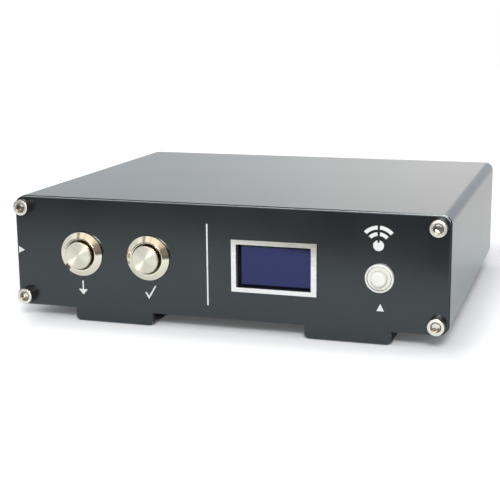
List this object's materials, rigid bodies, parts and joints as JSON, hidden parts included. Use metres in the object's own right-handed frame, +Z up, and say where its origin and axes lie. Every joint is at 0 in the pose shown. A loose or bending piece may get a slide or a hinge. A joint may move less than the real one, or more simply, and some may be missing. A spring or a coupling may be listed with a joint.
{
  "type": "coaxial antenna switch",
  "caption": "Low black metal case on two rails with push buttons, a small framed display and a signal lamp in front, and threaded coaxial sockets behind.",
  "frame": {"origin": "on the surface that the two rails stand on, under the middle of the width, midway between the button faces and the socket mouths", "axes": "+X to the right seen from the front, +Y from the front plate to the sockets at the rear, +Z up"},
  "size_m": [0.148, 0.143, 0.0423],
  "materials": {
    "case_anodised": "black anodised, fine satin",
    "plate_anodised": "black anodised, satin",
    "bright_screw": "bright nickel plating",
    "silver_frame": "satin silver",
    "display_glass": "polished, dark blue",
    "blue_board": "solder mask",
    "green_board": "solder mask",
    "nickel_steel": "brushed nickel",
    "nickel_brass": "nickel plated",
    "contact_copper": "gold plated",
    "copper_wire": "enamelled copper",
    "spring_steel": "spring wire",
    "white_plastic": "white",
    "frosted_lamp": "frosted, off",
    "black_plastic": "black",
    "black_rubber": "black",
    "relay_case": "blue",
    "capacitor_sleeve": "dark sleeve",
    "grey_ribbon": "grey flat cable",
    "red_lead": "red insulation",
    "ferrite": "sintered ferrite"
  },
  "bodies": {
    "case": {"antenna_1_socket_contact": "contact_copper", "antenna_1_socket_insulator": "white_plastic", "antenna_1_socket_shell": "nickel_brass", "antenna_2_socket_contact": "contact_copper", "antenna_2_socket_insulator": "white_plastic", "antenna_2_socket_shell": "nickel_brass", "antenna_3_socket_contact": "contact_copper", "antenna_3_socket_insulator": "white_plastic", "antenna_3_socket_shell": "nickel_brass", "antenna_relays": "relay_case", "confirm_button_barrel": "nickel_steel", "confirm_button_base": "black_plastic", "confirm_button_gasket": "black_rubber", "confirm_button_nut": "nickel_brass", "confirm_button_spring": "spring_steel", "confirm_button_terminals": "contact_copper", "controller_chip": "black_plastic", "controller_crystal": "nickel_steel", "display_board": "blue_board", "display_frame": "silver_frame", "display_glass": "display_glass", "display_header": "white_plastic", "display_posts": "nickel_brass", "display_ribbon": "grey_ribbon", "display_screws": "bright_screw", "front_plate": "plate_anodised", "front_plate_screws": "bright_screw", "housing": "case_anodised", "lamp": "frosted_lamp", "lamp_bezel": "nickel_steel", "lamp_collar": "white_plastic", "lamp_nut": "nickel_brass", "main_board": "green_board", "panel_leads": "red_lead", "power_lead": "red_lead", "power_socket_body": "black_plastic", "power_socket_nut": "nickel_brass", "power_socket_pin": "nickel_brass", "radio_socket_contact": "contact_copper", "radio_socket_insulator": "white_plastic", "radio_socket_shell": "nickel_brass", "rear_plate": "plate_anodised", "rear_plate_screws": "bright_screw", "rf_links": "copper_wire", "sensing_ring": "ferrite", "sensing_winding": "copper_wire", "smoothing_capacitors": "capacitor_sleeve", "socket_screws": "bright_screw", "step_button_barrel": "nickel_steel", "step_button_base": "black_plastic", "step_button_gasket": "black_rubber", "step_button_nut": "nickel_brass", "step_button_spring": "spring_steel", "step_button_terminals": "contact_copper", "voltage_regulator": "black_plastic"},
    "step_button": {"step_button_cap": "nickel_steel", "step_button_contact_disc": "contact_copper"},
    "confirm_button": {"confirm_button_cap": "nickel_steel", "confirm_button_contact_disc": "contact_copper"}
  },
  "joints": [
    {"name": "step_button_press", "type": "slide", "parent": "case", "child": "step_button", "axis": [0, 1, 0], "range_m": [0, 0.0016], "stiffness_N_per_m": 800, "springref_m": -0.0015, "deforming": ["step_button_spring"]},
    {"name": "confirm_button_press", "type": "slide", "parent": "case", "child": "confirm_button", "axis": [0, 1, 0], "range_m": [0, 0.0016], "stiffness_N_per_m": 800, "springref_m": -0.0015, "deforming": ["confirm_button_spring"]}
  ]
}
